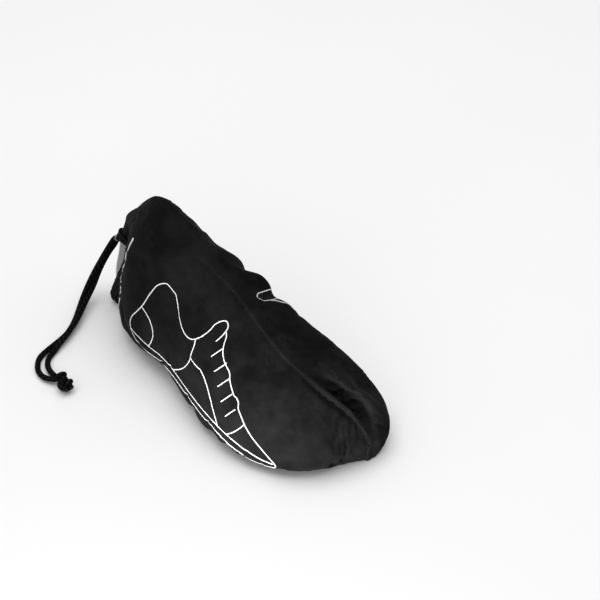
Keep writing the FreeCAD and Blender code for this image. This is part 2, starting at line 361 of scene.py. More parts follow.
def braid(name, line, diameter, body, first=(0, 0, 1), turn=BRAID_TURN, swell=None):
    """A braided cord along a line (mm): strands over and under each other round a core, whose near-black
    colour is painted shade in the gaps between the strands.
    """
    line = evenly(np.asarray(line, float), LINE_STEP)
    u, v = frames_along(line, first)
    along = lengths_along(line)
    grow = np.ones(len(line)) if swell is None else swell(along / along[-1])
    radius = diameter / 2
    thick = radius * STRAND_THICK
    wide = 2 * math.pi * radius * 0.82 / BRAID_EACH_WAY / 2 * 0.80
    middle = radius - 1.55 * thick
    verts, faces = [], []
    count = 0
    dark = []
    for turn_way in (1, -1):
        for k in range(BRAID_EACH_WAY):
            start_face = len(faces)
            angle = 2 * math.pi * (k / BRAID_EACH_WAY + turn_way * along / turn)
            wave = np.cos(2 * math.pi * BRAID_EACH_WAY * along / turn) * turn_way
            r = (middle + thick * STRAND_WAVE * wave) * grow
            out = u * np.cos(angle)[:, None] + v * np.sin(angle)[:, None]
            path = line + out * r[:, None]
            heading = unit(np.gradient(path, axis=0))
            across = unit(np.cross(heading, out))
            up = np.cross(across, heading)
            p, f = tube_mesh(path, wide * grow, thick * grow, across, up, 6, count)
            verts.append(p)
            faces += f
            if k % 2:
                dark += range(start_face, len(faces))
            count += len(p)
    core = (middle - thick * 0.2) * grow
    p, f = tube_mesh(line, core, core, u, v, 16, count)
    verts.append(p)
    strand_faces = len(faces)
    faces += f
    o = mesh_object(name, np.vstack(verts) * MM, faces, CORD_PAINTED_GLINTS, body)
    o.data.materials.append(CORE_PAINTED_SHADE)
    o.data.materials.append(CORD_DARK)
    index = np.zeros(len(o.data.polygons), np.int32)
    index[strand_faces:] = 1
    index[dark] = 2
    o.data.polygons.foreach_set("material_index", index)
    return o


near_line = curve_line(NEAR_ROUTE, LINE_STEP)
far_line = curve_line(FAR_ROUTE, LINE_STEP)
near_tail = braid("drawcord_tail_near_braid", near_line, CORD_D, "drawcord", first=(0, 1, 0))
far_tail = braid("drawcord_tail_far_braid", far_line, CORD_D, "drawcord", first=(0, 1, 0))
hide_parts("drawcord_tail_near")
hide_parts("drawcord_tail_far")

# ---------------- the knot and the two ends
KNOT_FROM = np.array((-106.5, -126.5, 7.5))
KNOT_TO = np.array((-94.5, -128.5, 8.4))
knot_axis = unit(KNOT_TO - KNOT_FROM)
knot_up = unit(np.array((0, 0, 1.0)) - knot_axis[2] * knot_axis)
knot_side = np.cross(knot_up, knot_axis)


def knot_point(centre, along, side, up):
    return centre + knot_axis * along + knot_side * side + knot_up * up


def closed_braid(name, line, diameter):
    return braid(name, np.vstack([line, line[:3]]), diameter, "drawcord", turn=KNOT_TURN)


t = np.linspace(0, 2 * np.pi, 160, endpoint=False)
big = np.stack([knot_point(KNOT_TO, 3.3 * math.sin(3 * a), (4.0 + 1.6 * math.cos(3 * a)) * math.cos(2 * a),
                           (3.7 + 1.6 * math.cos(3 * a)) * math.sin(2 * a)) for a in t])
knot_big = closed_braid("stopper_knot_main_turns", big, 5.6)
t = np.linspace(0, 2 * np.pi, 80, endpoint=False)
small = np.stack([knot_point(KNOT_FROM, 1.8 * math.sin(a) + 0.6, 4.2 * math.cos(a) + 1.2,
                             3.8 * math.sin(a) + 0.8) for a in t])
knot_small = closed_braid("stopper_knot_collar", small, 5.2)
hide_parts("stopper_knot")


def stub(name, side):
    """A cord's short free end past the knot, narrower towards its tip."""
    start = KNOT_TO + knot_axis * 1.0 + knot_side * side * 2.6 + knot_up * -1.0
    tip = KNOT_TO + knot_axis * 7.6 + knot_side * side * 3.0 + knot_up * -1.4
    line = evenly(np.array([start, (start + tip) / 2 + knot_up * 0.3, tip]), 0.5)
    return braid(name, line, CORD_D, "drawcord", turn=KNOT_TURN,
                 swell=lambda s: 1 - 0.22 * smooth((s - 0.7) / 0.3))


def sealed_cap(name, side):
    """The melted tip of a cord end, a low rough dome."""
    tip = KNOT_TO + knot_axis * 7.3 + knot_side * side * 3.0 + knot_up * -1.4
    rows, columns = 7, 18
    verts = []
    for i in range(rows):
        lift = i / (rows - 1)
        r = 2.35 * math.cos(lift * math.pi / 2 * 0.98)
        for j in range(columns):
            a = 2 * math.pi * j / columns
            wobble = 1 + 0.07 * math.sin(3 * a + side) + 0.05 * math.sin(5 * a)
            verts.append(tip + knot_axis * (1.25 * math.sin(lift * math.pi / 2) - 0.6)
                         + knot_side * r * wobble * math.cos(a) + knot_up * r * wobble * math.sin(a))
    faces = [tuple(f) for f in grid_faces(rows, columns, True)]
    faces += [tuple(range(columns))[::-1], tuple((rows - 1) * columns + j for j in range(columns))]
    return mesh_object(name, np.array(verts) * MM, faces, SEALED, "drawcord")


end_near, end_far = stub("cord_end_near_stub", 1), stub("cord_end_far_stub", -1)
cap_near, cap_far = sealed_cap("cord_end_near_seal", 1), sealed_cap("cord_end_far_seal", -1)
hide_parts("cord_end_near")
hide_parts("cord_end_far")

# ---------------- the two side panels
# the seam's line seen from above
SEAM = np.array([(-190, 1), (-142, -1), (-110, -4), (-82, -7.5), (-58, -10), (-35, -10.5), (-11, -6.5),
    (14, -3.5), (40, -4.5), (80, -4.5), (108, 0), (132, 5.5), (150, 10), (168, 14), (190, 19)], float)
seam_x = np.linspace(-190, 190, 381)
seam_y = np.interp(seam_x, SEAM[:, 0], SEAM[:, 1])
kernel = np.exp(-np.linspace(-2.2, 2.2, 21) ** 2)
seam_y = np.pad(seam_y, 10, mode="reflect", reflect_type="odd")
seam_y = np.convolve(seam_y, kernel / kernel.sum(), mode="valid")


def seam_at(x):
    return np.interp(x, seam_x, seam_y)


def bvh_of(*names):
    """A search tree of several CAD nodes together."""
    verts, faces = [], []
    for name in names:
        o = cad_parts[name]
        start = len(verts)
        verts += [v.co.copy() for v in o.data.vertices]
        faces += [tuple(start + k for k in p.vertices) for p in o.data.polygons]
    return BVHTree.FromPolygons(verts, faces)


panels = bvh_of("right_side_panel", "left_side_panel")
FAN_X = 150.0           # from here the slices fan out round the toe
FAN_CENTRE = np.array((FAN_X, seam_at(FAN_X), 23.0))
TOE_HEADING = math.atan2(seam_at(176) - seam_at(FAN_X), 176 - FAN_X)
RAYS = 300
ACROSS = math.pi / 2     # the lean of a flat slice
REACH = 0.25            # metres, further out than the form goes
ray_angles = np.linspace(0, 2 * np.pi, RAYS, endpoint=False)


def slice_outline(centre, lean, heading):
    """The form's outline (mm) round a centre, in a plane across the heading or a cone that leans that way."""
    points = np.zeros((RAYS, 3))
    ahead = Vector((math.cos(heading), math.sin(heading), 0)) * math.cos(lean)
    for k, a in enumerate(ray_angles):
        across = Vector((-math.sin(heading), math.cos(heading), 0)) * math.cos(a)
        across += Vector((0, 0, math.sin(a)))
        d = ahead + across * math.sin(lean)
        origin = Vector(centre) * MM + d * REACH
        hit = panels.ray_cast(origin, -d)[0]
        points[k] = np.array(hit) / MM if hit is not None else np.nan
    bad = np.isnan(points[:, 0])
    if bad.any():
        good = np.flatnonzero(~bad)
        for c in range(3):
            points[bad, c] = np.interp(np.flatnonzero(bad), good, points[good, c], period=RAYS)
    return points


def halves(points):
    """The right and the left arc of an outline, each from the top of the seam to its bottom."""
    off = points[:, 1] - seam_at(points[:, 0])
    n = len(points)

    def crossing(low, high):
        for k in range(low, high):
            a, b = off[k % n], off[(k + 1) % n]
            if a > 0 >= b or a <= 0 < b:
                f = a / (a - b)
                return k, points[k % n] * (1 - f) + points[(k + 1) % n] * f
        raise RuntimeError("no seam crossing")

    top_k, top = crossing(int(n * 0.08), int(n * 0.42))
    base_k, base = crossing(int(n * 0.58), int(n * 0.92))
    right = np.vstack([top, points[top_k + 1:base_k + 1], base])
    left = np.vstack([base, points[[k % n for k in range(base_k + 1, top_k + n + 1)]], top])[::-1]
    return right, left


EDGE = [0.0, 0.7, 1.4, 2.2, 3.2, 4.6, 6.6]      # distances of the columns next to a seam
MIDDLE = 58


def spread_columns(arc):
    """Points on one arc, close together next to both seams."""
    along = lengths_along(arc)
    total = along[-1]
    shrink = min(1.0, total / 60.0)
    edge = np.array(EDGE) * shrink
    inner = np.linspace(edge[-1], total - edge[-1], MIDDLE + 2)[1:-1]
    at = np.concatenate([edge, inner, total - edge[::-1]])
    return points_at(at, along, arc), at


slices = [(np.array((x, seam_at(x) * 0.6, 0.0)), ACROSS) for x in
          np.concatenate([np.linspace(-159.6, -120, 17), np.linspace(-117.2, FAN_X, 92)])]
slices += [(FAN_CENTRE, lean) for lean in np.radians(np.linspace(86.5, 1.5, 22))]
right_rows, left_rows = [], []
for centre, lean in slices:
    c = centre.copy()
    if lean == ACROSS:
        top = panels.ray_cast(Vector((c[0] * MM, seam_at(c[0]) * MM, 0.3)), Vector((0, 0, -1)))[0]
        c[2] = min(40.0, 0.45 * top[2] / MM)
        blend = smooth((c[0] - 110) / 40)
        c = c * (1 - blend) + np.array((c[0], FAN_CENTRE[1], FAN_CENTRE[2])) * blend
    heading = TOE_HEADING * smooth((c[0] - 90) / 60)
    right, left = halves(slice_outline(c, lean, heading))
    right_rows.append(spread_columns(right)[0])
    left_rows.append(spread_columns(left)[0])
right_rows, left_rows = np.array(right_rows), np.array(left_rows)
ROWS, COLUMNS = right_rows.shape[:2]

# the mouth's edge: its back rim, from the top of the seam down each side to its bottom
RIM_TOP, RIM_BASE = (-170.5, 2, 76.5), (-171, 0, 3.0)
RIM_NEAR = [RIM_TOP, (-170, -2.0, 76.5), (-163, -3, 76.5), (-154, -2, 74), (-152.3, -1, 68.5),
    (-154.8, -3.6, 59.5), (-156.5, -6.3, 48), (-160.5, -9.2, 37), (-165, -12, 25), (-169, -13.5, 14),
    (-171, -11, 5.5), RIM_BASE]
RIM_FAR = [RIM_TOP, (-170.5, 6.5, 75.5), (-171, 10, 69), (-171.5, 12.5, 58), (-172, 13.5, 46),
    (-172, 13, 34), (-172, 12, 22), (-171.5, 9, 9), RIM_BASE]
CASING_DEPTH = 10.0
RIM_STEP = 0.5
rim_loop = curve_line(RIM_NEAR + RIM_FAR[1:-1][::-1], RIM_STEP, closed=True)
loop = rim_loop[:-1]
loop_along = lengths_along(rim_loop)[:-1]
loop_tangent = unit(np.roll(loop, -4, 0) - np.roll(loop, 4, 0))
mouth_middle = np.array((0.0, 1.0, 40.0))
loop_spread = unit((loop - mouth_middle) * (0, 1, 1))
loop_ahead = np.array((1.0, 0, 0)) + loop_spread * 0.55
loop_ahead = unit(loop_ahead - loop_tangent * (loop_ahead * loop_tangent).sum(1, keepdims=True))
for _ in range(12):
    loop_ahead = unit(np.roll(loop_ahead, 1, 0) + 2 * loop_ahead + np.roll(loop_ahead, -1, 0))
loop_out = unit(np.cross(loop_tangent, loop_ahead))
if (loop_spread * loop_out).sum() < 0:
    loop_out = -loop_out


def rim_side(points):
    return evenly(curve_line(points, RIM_STEP), count=400)


near_rim, far_rim = rim_side(RIM_NEAR), rim_side(RIM_FAR)


# where the drawing in to the rim starts, and over how far it grows
NECK_START, NECK_LENGTH = -116, 44.0


def neck(rows, rim):
    """Draws the panel's open end in to the rim, fading out along the neck."""
    rows = rows.copy()
    last = rows[0].copy()
    _, at = spread_columns(last)
    target = points_at(at / at[-1], np.linspace(0, 1, len(rim)), rim)
    nearest = np.linalg.norm(target[:, None] - loop[None], axis=2).argmin(1)
    target = target + loop_ahead[nearest] * (CASING_DEPTH - 1.0) - loop_out[nearest] * 0.6
    shift = target - last
    for i in range(len(rows)):
        centre, lean = slices[i]
        if lean == ACROSS:
            rows[i] += shift * smooth((NECK_START - centre[0]) / NECK_LENGTH)
    return rows


right_rows, left_rows = neck(right_rows, near_rim), neck(left_rows, far_rim)


def joined():
    """Both panels in one mesh for the simulation, joined along the seam."""
    left_inner = left_rows[:, 1:-1]
    count = ROWS * COLUMNS
    verts = np.vstack([right_rows.reshape(-1, 3), left_inner.reshape(-1, 3)])
    right_index = np.arange(count).reshape(ROWS, COLUMNS)
    inner_index = count + np.arange(ROWS * (COLUMNS - 2)).reshape(ROWS, COLUMNS - 2)
    left_index = np.hstack([right_index[:, :1], inner_index, right_index[:, -1:]])
    faces = []
    for index, flip in ((right_index, False), (left_index, True)):
        a, b, c, d = index[:-1, :-1], index[:-1, 1:], index[1:, 1:], index[1:, :-1]
        quads = np.stack([a, b, c, d], -1).reshape(-1, 4)
        faces.append(quads[:, ::-1] if flip else quads)
    return verts, np.vstack(faces), right_index, left_index


verts, faces, right_index, left_index = joined()
bag = mesh_object("bag_form", verts * MM, faces, KNIT)


def face_outward(o, one_sided=False):
    """Turns the faces away from the mesh's middle, or from its middle at y = 0 for a single panel."""
    co, n = vertex_values(o, "co"), vertex_values(o, "normal")
    middle = co.mean(0)
    if one_sided:
        middle[1] = 0.0
    if float(((co - middle) * n).sum()) <= 0:
        o.data.flip_normals()
        o.data.update()


face_outward(bag)


def simulate(o, pinned, pressure, slack, cap, frames=20):
    """Lets the cloth settle for a few frames, then keeps it near where it began."""
    start = vertex_values(o, "co")
    group = o.vertex_groups.new(name="pin")
    for i, w in enumerate(pinned):
        if w > 0:
            group.add([i], float(w), "REPLACE")
    mod = o.modifiers.new("cloth", "CLOTH")
    s = mod.settings
    s.quality, s.mass, s.air_damping = 6, 0.25, 2.0
    s.tension_stiffness, s.compression_stiffness, s.shear_stiffness, s.bending_stiffness = 12, 12, 6, 0.6
    s.tension_damping = s.compression_damping = s.shear_damping = 8
    s.shrink_min = -slack
    s.use_pressure, s.uniform_pressure_force = True, pressure
    s.vertex_group_mass = "pin"
    s.effector_weights.gravity = 0
    mod.collision_settings.use_collision = False
    mod.point_cache.frame_start, mod.point_cache.frame_end = 1, frames
    scene = bpy.context.scene
    for frame_number in range(1, frames + 1):
        scene.frame_set(frame_number)
    moved = vertex_values(o.evaluated_get(bpy.context.evaluated_depsgraph_get()), "co")
    o.modifiers.remove(mod)
    scene.frame_set(1)
    step = moved - start
    far = np.linalg.norm(step, axis=1, keepdims=True)
    step *= np.minimum(1.0, cap / np.maximum(far, 1e-9))
    print("cloth", o.name, "median move mm", round(float(np.median(far)) * 1000, 2), "largest",
          round(float(far.max()) * 1000, 2))
    set_coords(o, start + step)


def seam_distance(rows):
    """How far each point is from the nearer seam edge and from the first, measured along its row."""
    step = np.linalg.norm(np.diff(rows, axis=1), axis=2)
    along = np.concatenate([np.zeros((len(rows), 1)), np.cumsum(step, axis=1)], axis=1)
    return np.minimum(along, along[:, -1:] - along), along


# what the simulation holds still: the seams, both ends, the base, the neck and a band beside the seams
BASE_PIN = 1.5
NECK_PIN_START, NECK_PIN_LENGTH = -112, 26
SEAM_PIN = 24

pin = np.zeros(len(verts))
for index in (right_index, left_index):
    pin[index[:, 0]] = pin[index[:, -1]] = 1.0
    pin[index[:3]] = 1.0
    pin[index[-4:]] = 1.0
pin[verts[:, 2] < BASE_PIN] = 1.0
pin = np.maximum(pin, smooth((NECK_PIN_START - verts[:, 0]) / NECK_PIN_LENGTH))
for rows, index in ((right_rows, right_index), (left_rows, left_index)):
    near = seam_distance(rows)[0]
    pin[index.ravel()] = np.maximum(pin[index.ravel()], 1 - smooth(near.ravel() / SEAM_PIN))
simulate(bag, pin, pressure=1.0, slack=0.02, cap=0.0035)
form = vertex_values(bag, "co") / MM
bpy.data.objects.remove(bag)
right_rows, left_rows = form[right_index], form[left_index]


def finer(rows):
    """Twice as many rows and columns, on smooth curves through the old ones."""
    def double(a):
        before, after = np.roll(a, 1, 0), np.roll(a, -1, 0)
        after2 = np.roll(a, -2, 0)
        before[0], after[-1] = 2 * a[0] - a[1], 2 * a[-1] - a[-2]
        after2[-1] = after2[-2] = after[-1]
        middle = (-before + 9 * a + 9 * after - after2) / 16
        out = np.zeros((2 * len(a) - 1,) + a.shape[1:])
        out[::2], out[1::2] = a, middle[:-1]
        return out
    return np.swapaxes(double(np.swapaxes(double(rows), 0, 1)), 0, 1)


right_rows, left_rows = finer(right_rows), finer(left_rows)
ROWS, COLUMNS = right_rows.shape[:2]


def grid_normals(rows):
    return unit(np.cross(np.gradient(rows, axis=0), np.gradient(rows, axis=1)))


def row_distance(rows):
    """How far each row is along the bag, measured on the column a quarter of the way down."""
    return lengths_along(rows[:, rows.shape[1] // 4])


def line_distance(points, line):
    """Distance of each point from a polyline, and how far along it (0 to 1) its nearest place is."""
    line = np.asarray(line, float)
    length = lengths_along(line)
    best = np.full(points.shape[:-1], np.inf)
    share = np.zeros(points.shape[:-1])
    for k in range(len(line) - 1):
        d = line[k + 1] - line[k]
        f = np.clip(((points - line[k]) @ d) / (d @ d), 0, 1)
        far = np.linalg.norm(points - line[k] - f[..., None] * d, axis=-1)
        nearer = far < best
        best = np.where(nearer, far, best)
        share = np.where(nearer, (length[k] + f * (length[k + 1] - length[k])) / length[-1], share)
    return best, share


# soft folds: the line along the bottom of each, its depth and its half width; a negative depth is a ridge
FOLDS = [
    # the toe: the hollow beyond the seam, the ridge on its edge and the small tucks across it
    ([(118, 11, 66), (130, 16, 60), (142, 20, 53), (152, 22.5, 47), (160, 23, 41)], 14.0, 8.0),
    ([(112, 0, 69), (132, 4, 62), (147, 8.5, 55.5)], -3.4, 5.0),
    ([(147, 9, 55), (153, 10.5, 52)], -3.0, 4.5),
    ([(151, 6, 51), (160, -3, 38)], 1.2, 2.6),
    ([(145, 4, 56), (147, -8, 47)], 1.2, 2.4),
    ([(157, 8, 46), (166, 2, 33)], 0.8, 2.4),
    ([(136, 1, 60), (134, -12, 54)], 1.0, 2.6),
    ([(120, 52, 54), (142, 50, 46)], 2.0, 14.0),
    ([(162, 45, 34), (166, 42, 18), (163, 40, 8)], -2.0, 13.0),
    # the near side: soft vertical creases at heel and collar, fullness low down
    ([(-84, -22, 146), (-66, -31, 122), (-56, -37, 98)], 1.8, 9.0),
    ([(-108, -22, 136), (-103, -34, 108), (-101, -40, 84)], 1.8, 8.0),
    ([(-34, -18, 130), (-14, -31, 108), (-2, -43, 84)], 1.9, 8.0),
    ([(2, -17, 113), (16, -34, 96), (24, -47, 78)], 1.5, 7.0),
    ([(-10, -50, 72), (12, -53, 66), (32, -55, 66)], 1.4, 4.0),
    ([(52, -30, 84), (66, -46, 68), (74, -60, 48)], 1.2, 8.0),
    ([(-120, -38, 52), (-108, -45, 36), (-96, -48, 26), (-80, -49, 20)], -3.6, 11.0),
    # the far side: folds that run down from the seam
    ([(-72, 4, 160), (-64, 24, 138), (-58, 40, 104)], 1.8, 8.0),
    ([(-30, 6, 138), (-21, 20, 122), (-12, 34, 102)], -3.2, 8.0),
    ([(-14, 10, 124), (-6, 28, 106), (2, 42, 84)], 1.6, 6.0),
    ([(-8, 10, 122), (1, 25, 110), (9, 40, 92)], -8.5, 8.5),
    ([(26, 20, 104), (38, 40, 84), (44, 52, 60)], -2.6, 12.0),
    ([(62, 26, 84), (78, 46, 64), (88, 58, 40)], -1.6, 10.0),
    ([(-120, 10, 140), (-114, 28, 108), (-112, 36, 60)], 2.0, 8.0),
    # lumps where the cloth meets the floor
    ([(-72, -45, 4), (-62, -47, 4)], -6.0, 5.0),
    ([(-20, -55, 3), (-8, -56, 3)], -1.6, 4.0),
    ([(18, -62, 3), (32, -64, 3)], -3.2, 5.0),
    ([(66, -70, 3), (82, -70, 3)], -3.2, 5.0),
    ([(96, -64, 3), (104, -60, 3)], -2.4, 4.5),
    ([(-60, 44, 3), (-44, 47, 3)], -2.2, 4.5),
    ([(20, 58, 3), (36, 60, 3)], -2.4, 4.5),
]


# fullness: a line, how far (mm) the cloth beside it is moved, and over what half width
FULLNESS = [
    ([(-14, -50, 8), (12, -54, 8), (40, -60, 8), (66, -63, 8), (92, -60, 8), (112, -56, 7),
      (130, -44, 6), (140, -34, 6)], (2.5, -10, -0.5), 13.0),
    ([(158, -20, 8), (166, -6, 8), (171, 6, 7), (173, 18, 8), (174, 28, 10)], (-6.0, 1.5, 0.0), 17.0),
    ([(100, 50, 62), (124, 52, 54), (146, 50, 44), (160, 44, 34)], (-1.2, -4.4, -2.2), 12.0),
    ([(-40, 27, 127), (-14, 31, 112), (10, 35, 98), (34, 39, 85), (60, 43, 71), (84, 46, 60)],
     (1.0, 5.6, 3.6), 16.0),
    ([(-146, -1, 110), (-155, -1, 99), (-162, 0, 89)], (2.2, 0.0, -4.0), 10.0),
    ([(-75, -46, 5), (-67, -47, 4), (-59, -48, 5)], (-1.0, -6.5, 0.0), 6.0),
]


def pleats(s):
    """Gathers along the rim, from -1 to 1, at a distance s (mm) round it."""
    return (0.55 * np.sin(2 * np.pi * s / 6.1 + 1.4 * np.sin(s / 9.0))
            + 0.45 * np.sin(2 * np.pi * s / 10.3 + 2.0))


BESIDE_SEAM = 4.5       # a fold further than this from the seam is on one panel only
FOLD_FADE = 6.0         # and fades out this near the seam
GATHER_WIDTH = 16.0     # of the gathers behind the mouth
ABOVE_FLOOR = 0.15


def sculpt(rows):
    """Folds, gathers, the groove along the seam and the fullness of one panel."""
    normal = grid_normals(rows)
    near, along = seam_distance(rows)
    s = row_distance(rows)[:, None]
    pucker = 1 + 0.25 * np.sin(s * 2 * np.pi / 6.6) + 0.2 * np.sin(s * 2 * np.pi / 17.0 + 1.0)
    move = np.zeros(rows.shape[:2])
    own_side = np.sign((rows[..., 1] - seam_at(rows[..., 0])).mean())
    for line, depth, width in FOLDS:
        middle = np.mean(line, axis=0)
        beside = middle[1] - seam_at(middle[0])
        fade = 1.0
        if abs(beside) > BESIDE_SEAM:
            if np.sign(beside) != own_side:
                continue
            fade = smooth(near / FOLD_FADE)
        far, share = line_distance(rows, line)
        taper = (0.35 + 0.65 * np.sin(np.pi * np.clip(share, 0, 1)) ** 0.7) * fade
        move -= depth * taper * np.exp(-(far / width) ** 2)
        move += depth * 0.1 * taper * np.exp(-((far - 1.9 * width) / width) ** 2)
    gather = np.exp(-((s - 6.0) / GATHER_WIDTH) ** 2) * smooth(near / FOLD_FADE)
    move += 0.8 * pleats(along * 0.9) * gather
    move += -0.8 * np.exp(-(near / 0.9) ** 2) + 0.35 * np.exp(-((near - 3.2) / 1.8) ** 2) * pucker
    rows = rows + normal * move[..., None]
    for line, shift, width in FULLNESS:
        far, share = line_distance(rows, line)
        taper = 0.25 + 0.75 * np.sin(np.pi * np.clip(share, 0, 1)) ** 0.6
        rows = rows + (taper * np.exp(-(far / width) ** 2))[..., None] * np.array(shift)
    rows[..., 2] = np.maximum(rows[..., 2], ABOVE_FLOOR)
    return rows


right_rows, left_rows = sculpt(right_rows), sculpt(left_rows)


def close_seam(one, other):
    """Draws the two panels' edges together along the seam, fading out a little way in."""
    near_one, near_other = seam_distance(one)[0], seam_distance(other)[0]
    half = COLUMNS // 2
    for part, edge in ((slice(0, half), 0), (slice(COLUMNS - half, COLUMNS), -1)):
        middle = (one[:, edge] + other[:, edge]) / 2
        for rows, near in ((one, near_one), (other, near_other)):
            shift = (middle - rows[:, edge])[:, None]
            rows[:, part] = rows[:, part] + shift * (1 - smooth(near[:, part, None] / 4.0))


close_seam(right_rows, left_rows)


def panel(name, rows, node):
    o = mesh_object(name, rows.reshape(-1, 3) * MM, grid_faces(ROWS, COLUMNS), KNIT, None)
    face_outward(o, one_sided=True)
    thick = o.modifiers.new("thickness", "SOLIDIFY")
    thick.thickness, thick.offset = 0.001, -1
    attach(o, "bag")
    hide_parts(node)
    return o


right_panel = panel("right_side_panel_knit", right_rows, "right_side_panel")
left_panel = panel("left_side_panel_knit", left_rows, "left_side_panel")

# ---------------- seam tape and stitches
THREAD_SIDES = 6
LEAST_HEIGHT = 0.3      # above the floor, of trim at the base


def capsules(name, ends, radius, material, body):
    """Short threads from point to point (mm), each a round-ended bead of thread that bows a little."""
    verts, faces, start = [], [], 0
    profile = [(0.0, 0.35), (0.12, 0.85), (0.35, 1.0), (0.65, 1.0), (0.88, 0.85), (1.0, 0.35)]
    for a, b, up in ends:
        a, b, up = (np.asarray(v, float) for v in (a, b, up))
        d = unit(b - a)
        u = unit(up - (up @ d) * d)
        w = np.cross(d, u)
        line = np.array([a + (b - a) * f + u * radius * 0.9 * math.sin(math.pi * f) for f, _ in profile])
        r = np.array([radius * g for _, g in profile])
        p, f = tube_mesh(line, r, r, np.tile(u, (len(line), 1)), np.tile(w, (len(line), 1)),
                         THREAD_SIDES, start)
        verts.append(p)
        faces += f
        start += len(p)
    return mesh_object(name, np.vstack(verts) * MM, faces, material, body)


def strip(name, line, across, up, half, thick, material, body):
    """A flat closed band along a line."""
    left, right = line - across * half, line + across * half
    corners = np.stack([left, left + up * thick, right + up * thick, right], axis=1)
    corners[..., 2] = np.maximum(corners[..., 2], LEAST_HEIGHT)
    faces = [tuple(f) for f in grid_faces(len(line), 4, True)]
    faces += [(3, 2, 1, 0), tuple((len(line) - 1) * 4 + k for k in range(4))]
    return mesh_object(name, corners.reshape(-1, 3) * MM, faces, material, body)


def outward_normals(rows):
    normals = grid_normals(rows)
    return -normals if ((rows - rows.mean((0, 1))) * normals)[:, :, 1].sum() < 0 else normals


right_normal, left_normal = outward_normals(right_rows), outward_normals(left_rows)
seam_path = np.vstack([right_rows[4:-1, 0], right_rows[4:-1, -1][::-1]])
seam_up = unit(np.vstack([(right_normal[4:-1, 3] + left_normal[4:-1, 3]),
                          (right_normal[4:-1, -4] + left_normal[4:-1, -4])[::-1]]))
seam_path, seam_up = seam_path[::2], seam_up[::2]
seam_tangent = unit(np.gradient(seam_path, axis=0))
seam_across = unit(np.cross(seam_up, seam_tangent))
tape = strip("seam_binding_tape", seam_path - seam_up * 3.0, seam_across, seam_up, 2.4, 0.9, KNIT, "bag")
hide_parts("seam_binding")


STITCH_STEP = 2.8


def seam_ladder():
    """Stitches across the seam, a little aslant, from one panel to the other."""
    ends = []
    for column in (2, -3):
        along = lengths_along(right_rows[:, column])
        for at in np.arange(8.0, along[-1] - 6.0, STITCH_STEP):
            place = [points_at(at + lean, along, rows[:, column])
                     for rows, lean in ((right_rows, -0.5), (left_rows, 0.5))]
            i = int(np.searchsorted(along, at))
            up = unit(right_normal[i, column] + left_normal[i, column])
            if place[0][2] > 1.2 and np.linalg.norm(place[0] - place[1]) > 0.5:
                ends.append((place[0] + up * 0.25, place[1] + up * 0.25, up))
    return capsules("seam_stitches", ends, 0.17, SEAM_THREAD, "bag")


seam_ladder()

# ---------------- mouth casing with the cord in its tunnel
# the folded strip's section: how far ahead of the rim, and how far out
PROFILE = [(11.4, 1.5), (10.6, 1.9), (9.8, 1.3), (9.0, 1.15), (8.2, 1.9), (7.0, 3.0), (5.6, 3.55),
    (4.2, 3.7), (2.8, 3.5), (1.4, 2.9), (0.4, 1.9), (-0.1, 0.7), (-0.1, -0.6), (0.4, -1.8), (1.4, -2.8),
    (2.8, -3.3), (4.2, -3.5), (5.6, -3.3), (7.0, -2.8), (8.2, -1.7), (9.0, -1.2), (9.8, -1.3),
    (10.8, -1.2), (11.4, -0.6), (11.6, 0.4)]


def casing():
    gathers = pleats(loop_along)
    rings = []
    slim = (1 - 0.45 * smooth((loop[:, 2] - 58) / 14))[:, None]
    for f, n in PROFILE:
        bulge = max(0.0, min(1.0, (abs(n) - 1.0) / 2.5))
        front = smooth((f - 2.0) / 8.0)
        lift = (0.35 + 0.55 * front) * gathers * np.sign(n) * (0.35 + 0.65 * bulge)
        rings.append(loop + loop_ahead * (f + 0.5 * front * np.roll(gathers, 5))[:, None]
                     + loop_out * (n + lift)[:, None] * slim)
    rings = np.stack(rings, axis=1)
    rings[..., 2] = np.maximum(rings[..., 2], LEAST_HEIGHT)
    rows, columns = rings.shape[:2]
    faces = [tuple(f) for f in grid_faces(rows, columns, True)]
    faces += [((rows - 1) * columns + j, (rows - 1) * columns + (j + 1) % columns, (j + 1) % columns, j)
              for j in range(columns)]
    o = mesh_object("mouth_casing_fold", rings.reshape(-1, 3) * MM, faces, KNIT, "bag")
    sub = o.modifiers.new("smooth", "SUBSURF")
    sub.levels = sub.render_levels = 1
    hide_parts("mouth_casing")
    return rings


casing_rings = casing()


CASING_STITCH, CASING_STITCH_STEP = 2.3, 3.3
STITCHED_RING = 3       # the place in the casing's section that the stitches follow


def casing_rows():
    """The row of stitches that closes the tunnel, left out where the casing lies on the floor."""
    ends = []
    ring = casing_rings[:, STITCHED_RING]
    along = lengths_along(ring)
    for at in np.arange(1.0, along[-1] - 2.5, CASING_STITCH_STEP):
        a, b = (points_at(x, along, ring) for x in (at, at + CASING_STITCH))
        i = int(np.searchsorted(along, at + 1.2)) % len(loop)
        if min(a[2], b[2]) > 0.9:
            ends.append((a + loop_out[i] * 0.12, b + loop_out[i] * 0.12, loop_out[i]))
    return capsules("casing_stitch_row", ends, 0.3, SEAM_THREAD, "bag")


stitch_row = casing_rows()
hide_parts("casing_stitching")

TUNNEL_AHEAD = 4.6      # of the rim
TUNNEL_GAP = 14         # points left out each side of the top, where the exits are
inner = loop + loop_ahead * TUNNEL_AHEAD
inner = np.roll(inner, -int(np.argmax(inner[:, 2])), axis=0)[TUNNEL_GAP:-TUNNEL_GAP]
inner[:, 2] = np.maximum(inner[:, 2], 3.4)
cord_loop = braid("drawcord_loop_braid", inner[::2], 5.6, "bag", first=(1, 0, 0))
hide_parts("drawcord_loop")


EYELET_INNER, EYELET_OUTER, EYELET_THREADS = 2.9, 3.9, 26


